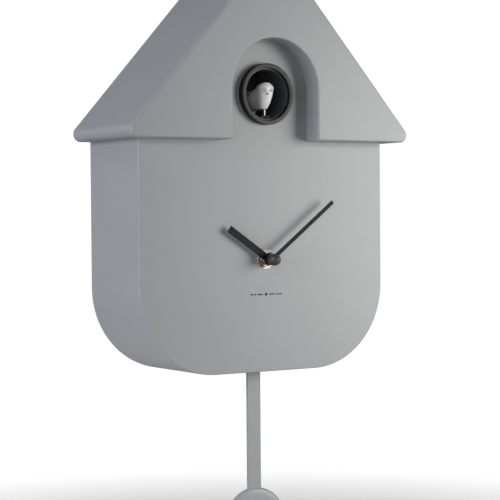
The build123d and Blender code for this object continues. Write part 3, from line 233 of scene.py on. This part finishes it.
finishes = {
    # ABS moulded in a finely spark-eroded tool: an even satin grey with a soft sheen
    "grey_abs": finish("satin_grey_abs", "#97999b", 0.42, 0.9, 0.012, IOR=1.5),
    # the same ABS in a coarser tool, as on backs that nobody sees
    "cover_abs": finish("textured_grey_abs", "#8d8f91", 0.55, 1.1, 0.03, IOR=1.5),
    # black ABS with a satin face that turns grey only where it mirrors the key light
    "dark_abs": finish("satin_black_abs", "#08080d", 0.5, 0.8, 0.008, IOR=1.48),
    # black ABS coloured dark grey: the grey is a painted sheen for the tunnel's inner wall, and the
    # shade inside the tunnel turns it black
    "black_abs": finish("black_abs", "#4a4b4e", 0.42, 0.8, 0.01, IOR=1.45),
    # sprayed matt charcoal on thin sheet, flat and almost without a highlight
    "hand_paint": finish("matt_charcoal_paint", "#0c0d13", 0.55, 0.4, 0.004, IOR=1.27),
    # white ABS polished like porcelain, with light bleeding softly past the edges of its shade
    "bird_white": finish("glossy_white_abs", "#dcdcdb", 0.28, 3.0, 0.004, shade=0.02,
                         rough_spread=0.04, IOR=1.5, Subsurface_Weight=0.75,
                         Subsurface_Scale=4.0 * MM, Subsurface_Radius=(1.0, 0.95, 0.9)),
    # bright zinc on pressed and turned steel: cool, slightly milky, mirrors only broad lights
    "zinc_steel": finish("bright_zinc_steel", "#c9cad0", 0.42, 0.5, 0.004, Metallic=1.0),
    # turned brass, paler and less yellow than polished brass
    "brass": finish("turned_brass", "#b0a086", 0.38, 0.4, 0.004, Metallic=1.0),
    # undyed acetal of gears and frames: warm white, a little waxy
    "natural_plastic": finish("natural_acetal", "#dcd8cc", 0.4, 0.9, 0.006, IOR=1.48),
    # fine enamelled wire in layers: reddish, with a thread-like grain
    "copper_winding": finish("enamelled_copper_wire", "#a2562c", 0.3, 0.35, 0.05, Metallic=1.0),
    # soft black rubber, dull all over
    "rubber": finish("black_rubber", "#1b1b1b", 0.7, 0.6, 0.02, IOR=1.52),
    # green solder mask on a glass-fibre board, with a smooth gloss
    "circuit_board": finish("green_solder_mask", "#1d5a35", 0.3, 1.6, 0.02, IOR=1.5),
    # epoxy moulded round chips: near black, finely sanded look
    "component_black": finish("moulded_epoxy", "#1e1e20", 0.5, 0.5, 0.01, IOR=1.55),
    # sintered ferrite: dark grey and dry, like fine stone
    "ferrite": finish("sintered_ferrite", "#3a3a3d", 0.6, 0.5, 0.02, IOR=1.6),
    # pressed black paper of the loudspeaker, fibrous and without gloss
    "paper_cone": finish("pressed_black_paper", "#232322", 0.85, 0.8, 0.05, IOR=1.4),
    # tight blue-grey shrink sleeve, glossy, with long highlights down each cell
    "cell_jacket": finish("plain_shrink_sleeve", "#2f3f55", 0.22, 4.0, 0.01, IOR=1.5),
    # the light sensor's cast epoxy lens, pale and shiny
    "sensor_lens": finish("clear_epoxy_lens", "#d9dcdc", 0.08, 2.0, 0.002, IOR=1.55),
}

# black rubber-like lacquer on the cap, whose highlight is wide and bluish
soft_touch_black = finish("soft_touch_black_lacquer", "#25262e", 0.6, 0.3, 0.002, IOR=1.7)
# pale grey on the bird's eye rings and pupils, a painted shade for the shading round the eyes' low
# relief
eye_painted_shade = finish("eye_ring_painted_shade", "#b4b5b8", 0.4, 0.6, 0.002, IOR=1.45)
# acetal coloured near black as painted shade, so the bird's slide stays unseen in its tunnel
carriage_painted_shade = finish("carriage_painted_shade_black", "#050506", 0.6, 0.6, 0.004, IOR=1.3)


# ---- shapes --------------------------------------------------------------------------------
def skin(grid, ring_of_rows=False):
    """Points, four-sided faces and end faces of a tube through a grid (rows, points, xyz).

    Every row is a closed loop. With ring_of_rows the last row joins the first; otherwise each
    end row is closed by one flat face."""
    rows, across = grid.shape[:2]
    index = np.arange(rows * across).reshape(rows, across)
    after = np.roll(index, -1, 0) if ring_of_rows else index[1:]
    before = index if ring_of_rows else index[:-1]
    quads = np.stack([before, np.roll(before, -1, 1), np.roll(after, -1, 1), after], -1)
    ends = index[:0] if ring_of_rows else np.stack([index[0][::-1], index[-1]])
    return grid.reshape(-1, 3), [quads.reshape(-1, 4), ends]


def outward(points, faces):
    """The same faces, turned round if the volume that they enclose comes out negative."""
    volume = 0.0
    for group in faces:
        loops = points[group]
        fans = np.cross(loops[:, 1:-1], loops[:, 2:])
        volume += np.einsum("fi,fki->", loops[:, 0], fans) if len(group) else 0.0
    return [group[:, ::-1] for group in faces] if volume < 0 else faces


def piece(name, body, slot, shells, replaced=(), soft_angle=35.0, look=None):
    """One object from closed shells, in metres and in place, riding on a body."""
    points, corners, counts, start = [], [], [], 0
    for shell_points, shell_faces in shells:
        points.append(shell_points)
        for group in outward(shell_points, shell_faces):
            corners.append(start + group.ravel())
            counts.append(np.full(len(group), group.shape[1]))
        start += len(shell_points)
    points, corners, counts = (np.concatenate(rows) for rows in (points, corners, counts))
    mesh = bpy.data.meshes.new(name)
    mesh.vertices.add(len(points))
    mesh.vertices.foreach_set("co", points.ravel())
    mesh.loops.add(len(corners))
    mesh.loops.foreach_set("vertex_index", corners)
    mesh.polygons.add(len(counts))
    mesh.polygons.foreach_set("loop_start", np.cumsum(counts) - counts)
    mesh.update(calc_edges=True)
    mesh.validate()
    mesh.shade_smooth()
    mesh.set_sharp_from_angle(angle=math.radians(soft_angle))
    mesh.materials.append(look or finishes[slot])
    thing = bpy.data.objects.new(name, mesh)
    bpy.context.scene.collection.objects.link(thing)
    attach(thing, body)
    if replaced:
        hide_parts(*replaced)
    return thing


def rounded(corners, radius, steps=6, closed=True):
    """An outline whose corners give way to short parabolas.

    Each parabola leaves the corner's two sides at radius from it and has the corner as its
    control point. radius is one length or one for each corner."""
    corners = np.asarray(corners, float)
    radius = np.broadcast_to(np.asarray(radius, float), len(corners))[:, None]
    into = np.roll(corners, 1, 0) - corners
    out = np.roll(corners, -1, 0) - corners
    start = corners + into / np.linalg.norm(into, axis=1, keepdims=True) * radius
    end = corners + out / np.linalg.norm(out, axis=1, keepdims=True) * radius
    if not closed:
        start[0] = end[0] = corners[0]
        start[-1] = end[-1] = corners[-1]
    t = np.linspace(0, 1, steps)[None, :, None]
    bend = (1 - t) ** 2 * start[:, None] + 2 * t * (1 - t) * corners[:, None] + t ** 2 * end[:, None]
    return bend.reshape(-1, corners.shape[1])


def turned(profile, centre, segments=96, closed=True, upright=False):
    """A profile of (radius, y) turned about the line along Y through centre (x, z).

    Upright, the profile is (radius, z) and the line is the one along Z through centre (x, y).
    A closed profile makes a ring. An open one starts and ends on small radii, and its two ends
    are closed by flat faces."""
    profile = np.asarray(profile, float)
    angle = np.linspace(0, TURN, segments, endpoint=False)
    radius, along = profile[:, :1], profile[:, 1:] + 0 * angle
    near = centre[0] + radius * np.cos(angle)
    far = centre[1] + radius * np.sin(angle)
    return skin(np.stack([near, far, along] if upright else [near, along, far], -1), closed)


def inset(outline, amount):
    """A closed outline moved inwards by amount along the normals of its own tangents."""
    along = np.roll(outline, -1, 0) - np.roll(outline, 1, 0)
    along = along / np.linalg.norm(along, axis=1, keepdims=True)
    area = np.sum(outline[:, 0] * np.roll(outline[:, 1], -1)
                  - np.roll(outline[:, 0], -1) * outline[:, 1])
    return outline + np.sign(area) * amount * np.stack([-along[:, 1], along[:, 0]], 1)


def plate(outline, front, back, edge, steps=5):
    """A flat plate between the depths front and back, whose rims are rounded to edge.

    Rows run from the middle of the front face out to its rim, round a quarter circle, along
    the side and round again to the back face. The outline is in (x, z)."""
    turn = np.linspace(0, np.pi / 2, steps)
    drawn = np.concatenate([[1.6 * edge], edge * (1 - np.sin(turn))])
    depth = np.concatenate([[0.0], edge * (1 - np.cos(turn))])
    drawn = np.concatenate([drawn, drawn[::-1]])
    depth = np.concatenate([front + depth, back - depth[::-1]])
    rows = [np.insert(inset(outline, a), 1, y, 1) for a, y in zip(drawn, depth)]
    return skin(np.stack(rows))


def middle(low, high):
    """Centre of a box in (x, z)."""
    return ((low[0] + high[0]) / 2, (low[2] + high[2]) / 2)


# ---- window --------------------------------------------------------------------------------
def make_bezel():
    """Flat-faced ring round the window, with finely rounded rims."""
    low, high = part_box("window_bezel")
    case_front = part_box("front_case")[0][1]
    outer = (high[0] - low[0]) / 2
    corners = [(bezel_bore, high[1]), (bezel_spigot, high[1]), (bezel_spigot, case_front),
               (outer, case_front), (outer, low[1]), (bezel_bore, low[1])]
    rims = np.array([0.3, 0.3, 0.1, 0.1, 0.55, 0.6]) * MM
    ring = turned(rounded(corners, rims), middle(low, high), 128)
    piece("bezel_ring", "case", "dark_abs", [ring], ["window_bezel"])


# ---- bird ----------------------------------------------------------------------------------
def through(knots, at, softness=0.05):
    """A smooth curve near the knots (place, value): straight lines between them, averaged over
    a bell-shaped window as wide as softness times the whole span."""
    place, value = np.asarray(knots, float).T
    fine = np.linspace(place[0], place[-1], 801)
    reach = int(softness * 800)
    bell = np.hanning(2 * reach + 3)[1:-1]
    line = np.pad(np.interp(fine, place, value), reach, mode="reflect", reflect_type="odd")
    return np.interp(at, fine, np.convolve(line, bell / bell.sum(), "valid"))


def make_bird():
    """Stylised chick with a broad, nearly flat face that narrows to a small foot.

    Level slices are stacked from the foot to the crown. A slice starts as a shallow bow from
    cheek to cheek, turns sharply at the cheeks and runs back as half an ellipse to the spine;
    towards the crown it eases into a whole ellipse. The cheeks' half-width, the face's depth
    and the spine's depth are smooth curves of the height. The folded wings are soft swellings
    of the flanks, and the tail is a flat tongue whose sections are ellipses."""
    low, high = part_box("bird_body")
    foot, crown = low[2], high[2] - 0.02 * MM
    lift = np.concatenate([[0.0, 0.012], np.sin(np.linspace(0.02, 1, 90) * np.pi / 2)])
    z = (lift * (crown - foot) + foot)[:, None]
    tall = (z[:, 0] - foot) / MM
    dome = np.sqrt(np.clip(1 - (np.clip(tall - 13.2, 0, None) / 4.31) ** 2, 1e-4, 1))
    soft = np.clip((tall - 12.5) / 5.0, 0, 1)[:, None] ** 3
    cheek = through([(0, 2.9), (4, 4.5), (9, 5.35), (13, 5.7), (17.6, 5.7)], tall) * dome
    face = through([(0, -65.1), (4, -67.2), (9, -68.8), (13, -69.4), (17.6, -69.4)], tall)
    face = face + 1.8 * (1 - dome)
    spine = through([(0, -46.5), (3, -43.5), (7.5, -43.0), (10.0, -44.5), (11.6, -49.0),
                     (12.8, -54.5), (14.3, -61.0), (16.2, -64.4), (17.4, -65.6)], tall, 0.03)
    spine = np.maximum(spine, face + 1.9 * cheek)
    cheek, face, spine = (v[:, None] * MM for v in (cheek, face, spine))
    waist = face + 0.7 * cheek
    bow = np.linspace(-1, 1, 37)[None, :-1]
    lap = np.linspace(0, np.pi, 97)[None, :-1]
    flat_face = face + 1.5 * MM * bow ** 2
    round_face = waist + (face - waist) * np.cos(bow * np.pi / 2)
    flat_x, round_x = cheek * bow, cheek * np.sin(bow * np.pi / 2)
    flank = np.sign(np.cos(lap)) * np.abs(np.cos(lap)) ** 0.8
    cheek_y = face + 1.5 * MM
    x = np.concatenate([flat_x * (1 - soft) + round_x * soft,
                        cheek * (flank * (1 - soft) + np.cos(lap) * soft)], 1)
    y = np.concatenate([flat_face * (1 - soft) + round_face * soft,
                        (cheek_y + (spine - cheek_y) * np.sin(lap)) * (1 - soft)
                        + (waist + (spine - waist) * np.sin(lap)) * soft], 1)
    wing = np.exp(-((y + 51.5 * MM) / (6.5 * MM)) ** 2 - ((z - foot - 6.0 * MM) / (4.0 * MM)) ** 2)
    x = x * (1 + 0.3 * wing)
    for step in (1, 2, 3):
        x = (np.roll(x, step, 1) + 2 * x + np.roll(x, -step, 1)) / 4
        y = (np.roll(y, step, 1) + 2 * y + np.roll(y, -step, 1)) / 4
    x[0], y[0] = 0.93 * x[0], y[0] * 0.93 + 0.07 * y[0].mean()
    body = skin(np.stack([x, y, z + 0 * x], -1))

    along = np.linspace(0, 1, 24)[:, None]
    turn = np.linspace(0, TURN, 32, endpoint=False)[None, :]
    thin = np.sqrt(np.clip(1 - along ** 3, 0, 1)) + 1e-3
    spine_z = foot + (9.2 + 5.0 * along) * MM
    tail = skin(np.stack([(3.2 - 1.0 * along) * MM * thin * np.cos(turn),
                          (-50.0 + 11.0 * along) * MM + 0 * turn,
                          spine_z + 1.3 * MM * thin * np.sin(turn)], -1))

    nose_y = face.min()
    reach = np.linspace(0, 1, 14)[:, None]
    narrow = 1.001 - reach ** 1.5
    beak = skin(np.stack([1.35 * MM * narrow * np.cos(turn),
                          nose_y + (1.0 - 3.0 * reach) * MM + 0 * turn,
                          foot + (9.9 - 0.35 * reach) * MM + 0.9 * MM * narrow * np.sin(turn)], -1))
    piece("chick", "bird", "bird_white", [body, tail, beak], ["bird_body"], soft_angle=50.0)

    eyes = []
    for side in (-2.6, 2.6):
        lid_y = nose_y + 0.2 * MM
        lap = np.linspace(0, TURN, 12, endpoint=False)
        lid = np.stack([(1.0 + 0.2 * np.cos(lap)) * MM, lid_y - 0.2 * MM * np.sin(lap)], 1)
        pupil = rounded([(0.02 * MM, lid_y + 0.5 * MM), (0.5 * MM, lid_y + 0.5 * MM),
                         (0.5 * MM, lid_y - 0.12 * MM), (0.02 * MM, lid_y - 0.12 * MM)],
                        0.12 * MM, closed=False)
        place = (side * MM, foot + 12.1 * MM)
        eyes += [turned(lid, place, 32), turned(pupil, place, 32, closed=False)]
    # the eyes wear pale grey as painted shade of their relief on the white face
    piece("chick_eyes", "bird", "bird_white", eyes, look=eye_painted_shade)


# ---- hands ---------------------------------------------------------------------------------
def make_hand(name, body, bore, hub_radius):
    """Square-ended blade with softened rims, and the hub that is pressed on its arbor.

    The blade's direction, length and width come from its CAD node: the corners farthest from
    the arbor are the ends of its tip."""
    low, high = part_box(name)
    node = frame["nodes"][name].data
    places = np.empty(3 * len(node.vertices))
    node.vertices.foreach_get("co", places)
    places = places.reshape(-1, 3)
    reach = np.hypot(places[:, 0], places[:, 2])
    ends = places[reach > reach.max() - 0.02 * MM][:, [0, 2]]
    tip = ends.mean(0)
    length = np.linalg.norm(tip)
    toward = tip / length
    across = np.array([toward[1], -toward[0]])
    half = np.abs((ends - tip) @ across).max()
    front = places[reach > 0.9 * reach.max()][:, 1]
    corners = [-half * across, half * across, tip + half * across, tip - half * across]
    blade = plate(rounded(corners, 0.12 * MM, 4), front.min(), front.max(), 0.1 * MM, 4)
    hub = rounded([(bore, high[1]), (hub_radius, high[1]), (hub_radius, low[1]),
                   (bore, low[1])], 0.18 * MM)
    piece(name + "_blade", body, "hand_paint", [blade, turned(hub, (0, 0), 64)], [name])


def make_cap():
    """Round-nosed cap on the end of the minute shaft: a short cylinder under a half ball."""
    low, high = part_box("hand_cap")
    radius = (high[0] - low[0]) / 2
    ball_y = low[1] + radius
    turn = np.linspace(0, np.pi / 2, 24)
    dome = np.stack([radius * np.cos(turn) + 1e-6, ball_y - radius * np.sin(turn)], 1)
    foot = rounded([(minute_shaft + 0.01 * MM, high[1]), (radius, high[1]), (radius, ball_y)],
                   [0, 0.25 * MM, 0], closed=False)
    piece("round_cap", "minute_arbor", "dark_abs",
          [turned(np.concatenate([foot, dome[1:]]), (0, 0), 64, closed=False)], ["hand_cap"],
          look=soft_touch_black)


# ---- dial nut, washer and bushing ----------------------------------------------------------
def make_washer():
    """Thin pressed washer whose rim is raised to a bead round a lower seat."""
    low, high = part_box("dial_washer")
    outer = (high[0] - low[0]) / 2
    rim = low[1] + 0.12 * MM
    seat = low[1] + 0.18 * MM
    corners = [(washer_bore, high[1]), (outer, high[1]), (outer, rim), (outer - 0.45 * MM, low[1]),
               (outer - 0.95 * MM, seat), (washer_bore, seat)]
    piece("pressed_washer", "case", "zinc_steel",
          [turned(rounded(corners, 0.11 * MM), (0, 0))], ["dial_washer"])


def make_nut():
    """Hexagon nut whose corners a cone rounds off in front.

    Outside, the radius at an angle is the smaller of the hexagon's, which is half the flats
    over the cosine of the angle from the nearest flat's middle, and the cone's."""
    low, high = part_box("dial_nut")
    flat = (high[2] - low[2]) / 2
    segments = 192
    angle = np.linspace(0, TURN, segments, endpoint=False)
    from_flat = (angle % (TURN / 6)) - TURN / 12
    hexagon = flat / np.cos(from_flat)
    depth = np.concatenate([[high[1]], np.linspace(high[1] - 0.1 * MM, low[1], 18)])[:, None]
    cone = flat * 0.99 + (depth - low[1]) / math.tan(math.radians(28))
    outside = np.minimum(hexagon[None, :], cone)
    outside[0] -= 0.1 * MM
    front = np.linspace(flat * 0.99 - 0.1 * MM, nut_bore + 0.3 * MM, 3)[:, None] + 0 * angle
    inside = np.array([nut_bore, nut_bore])[:, None] + 0 * angle
    radius = np.concatenate([outside, front, inside])
    y = np.concatenate([depth[:, 0], np.full(3, low[1]), [low[1] + 0.3 * MM, high[1]]])[:, None]
    grid = np.stack([radius * np.cos(angle), y + 0 * radius, radius * np.sin(angle)], -1)
    piece("hexagon_nut", "case", "brass", [skin(grid, ring_of_rows=True)], ["dial_nut"],
          soft_angle=25.0)


def make_bushing():
    """Threaded tube that clamps the movement to the dial.

    The thread is a triangle wave of the depth along the axis plus the angle, so one groove
    winds round with the pitch."""
    low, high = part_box("arbor_bushing")
    flange = (high[0] - low[0]) / 2
    angle = np.linspace(0, TURN, 72, endpoint=False)
    shank_back = high[1] - 0.5 * MM
    depth = np.linspace(shank_back, low[1] + 0.3 * MM, 84)[:, None]
    phase = (depth / thread_pitch + angle / TURN) % 1.0
    thread = thread_radius - thread_depth * np.abs(2 * phase - 1)
    ends = np.array([(bushing_bore, high[1]), (flange, high[1]), (flange, shank_back)])
    nose = np.array([(thread_radius - 0.4 * MM, low[1]), (bushing_bore + 0.2 * MM, low[1]),
                     (bushing_bore, low[1] + 0.2 * MM)])
    radius = np.concatenate([ends[:, :1] + 0 * angle, thread, nose[:, :1] + 0 * angle])
    y = np.concatenate([ends[:, 1:], depth, nose[:, 1:]])
    grid = np.stack([radius * np.cos(angle), y + 0 * radius, radius * np.sin(angle)], -1)
    piece("threaded_bushing", "case", "brass", [skin(grid, ring_of_rows=True)],
          ["arbor_bushing"])


# ---- pendulum ------------------------------------------------------------------------------
def make_bob():
    """Round bob, a little thicker in the middle, with a rim rounded like a pebble."""
    low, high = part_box("pendulum_bob")
    radius = (high[0] - low[0]) / 2
    half = (high[1] - low[1]) / 2
    centre_y = (high[1] + low[1]) / 2
    turn = np.linspace(-np.pi / 2, np.pi / 2, 40)
    reach = np.abs(np.cos(turn)) ** 0.16
    profile = np.stack([radius * reach * (1 - 1e-4) + 1e-6, centre_y - half * np.sin(turn)], 1)
    profile[0, 0] = profile[-1, 0] = 1e-5
    piece("round_bob", "pendulum", "grey_abs",
          [turned(profile, middle(low, high), 128, closed=False)], ["pendulum_bob"])


# ---- battery compartment -------------------------------------------------------------------
def make_cells():
    """Three cells in plain shrink sleeves that leave the steel cans' ends bare.

    Each can is a profile turned about the cell's own upright line, with a flat foot, a rounded
    shoulder and a nub. The sleeve is a thin tube whose ends curl over the can's edges."""
    low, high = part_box("battery_cells")
    radius = (high[1] - low[1]) / 2
    shoulder = high[2] - 1.0 * MM
    sleeve = 0.15 * MM
    cans, sleeves = [], []
    for x in (low[0] + radius, (low[0] + high[0]) / 2, high[0] - radius):
        centre = (x, (low[1] + high[1]) / 2)
        bare = radius - sleeve
        can = rounded([(1e-5, low[2] + 0.2 * MM), (bare - 1.6 * MM, low[2] + 0.2 * MM),
                       (bare - 1.5 * MM, low[2] + 0.05 * MM), (bare, low[2] + 0.05 * MM),
                       (bare, shoulder - 0.1 * MM), (3.1 * MM, shoulder - 0.1 * MM),
                       (2.5 * MM, shoulder), (2.5 * MM, high[2]), (1e-5, high[2])],
                      0.25 * MM, closed=False)
        cans.append(turned(can, centre, 64, closed=False, upright=True))
        outside = [(radius - 1.2 * MM, low[2]), (radius, low[2]), (radius, shoulder),
                   (radius - 1.5 * MM, shoulder)]
        inside = [(r - sleeve, z + sleeve * side) for (r, z), side in
                  zip(outside[::-1], (-1, -1, 1, 1))]
        sleeves.append(turned(rounded(outside + inside, 0.06 * MM), centre, 64, upright=True))
    piece("cell_cans", "case", "zinc_steel", cans, ["battery_cells"])
    piece("cell_sleeves", "case", "cell_jacket", sleeves)


def make_contacts():
    """Sprung contacts under the cells and flat ones above.

    A spring is a wire whose centre line winds round at a radius that shrinks with its height.
    Its round section is drawn on the outward and the upward direction at each point."""
    low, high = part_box("battery_contacts")
    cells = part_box("battery_cells")
    radius = (cells[1][1] - cells[0][1]) / 2
    middle_y = (cells[0][1] + cells[1][1]) / 2
    wire = 0.35 * MM
    turns = 4.5
    strip = 0.6 * MM
    along = np.linspace(0, 1, 280)[:, None]
    round_wire = np.linspace(0, TURN, 10, endpoint=False)[None, :]
    angle = along * turns * TURN
    coil = (4.1 - 1.5 * along) * MM + wire * np.cos(round_wire)
    rise = low[2] + wire + along * (cells[0][2] - low[2] - 2 * wire) + wire * np.sin(round_wire)
    square = rounded(np.array([(-1, -1), (1, -1), (1, 1), (-1, 1)]) * 4.5 * MM, 0.8 * MM)
    shells = []
    for x in (cells[0][0] + radius, (cells[0][0] + cells[1][0]) / 2, cells[1][0] - radius):
        shells.append(skin(np.stack([x + coil * np.cos(angle), middle_y + coil * np.sin(angle),
                                     rise + 0 * angle], -1)))
        flat = np.insert(square + (x, middle_y), 2, 0.0, 1)
        shells.append(skin(np.stack([flat + (0, 0, high[2] - strip), flat + (0, 0, high[2])])))
    piece("spring_contacts", "case", "zinc_steel", shells, ["battery_contacts"])


# ---- printed row ---------------------------------------------------------------------------
def make_print():
    """A printed row of dashes and dots under the hands, a little proud of the dial.

    Every mark is a flat plate with square sides: a dash is a rectangle and a dot a circle."""
    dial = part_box("front_case")[0][1]
    row_z = -23.0 * MM
    front, back = dial - 0.05 * MM, dial + 0.05 * MM
    angle = np.linspace(0, TURN, 32, endpoint=False)
    circle = np.stack([np.cos(angle), np.sin(angle)], 1)
    box = np.array([(-1, -1), (1, -1), (1, 1), (-1, 1)])
    marks = [(0.0, circle * 0.95 * MM)]
    for side in (-1, 1):
        marks += [(side * 4.6 * MM, box * (2.1 * MM, 0.36 * MM)),
                  (side * 8.6 * MM, circle * 0.6 * MM),
                  (side * 11.2 * MM, box * (1.2 * MM, 0.36 * MM))]
    shells = []
    for x, outline in marks:
        flat = np.insert(outline + (x, row_z), 1, 0.0, 1)
        shells.append(skin(np.stack([flat + (0, front, 0), flat + (0, back, 0)])))
    piece("dial_print", "case", "hand_paint", shells)


make_print()
make_bezel()
make_bird()
make_hand("hour_hand", "hour_arbor", hour_tube, hour_hub)
make_hand("minute_hand", "minute_arbor", minute_shaft, minute_hub)
make_cap()
make_washer()
make_nut()
make_bushing()
make_bob()
make_cells()
make_contacts()

# ---- finishes of the frame's own nodes -----------------------------------------------------
slot_of = {row["node"]: row["material_slot"] for row in frame["record"]["subparts"]}
# the bird's carriage gets the near black painted shade instead of its slot's finish
for name, node in frame["nodes"].items():
    node.data.materials.clear()
    node.data.materials.append(carriage_painted_shade if name == "bird_carriage" else finishes[slot_of[name]])
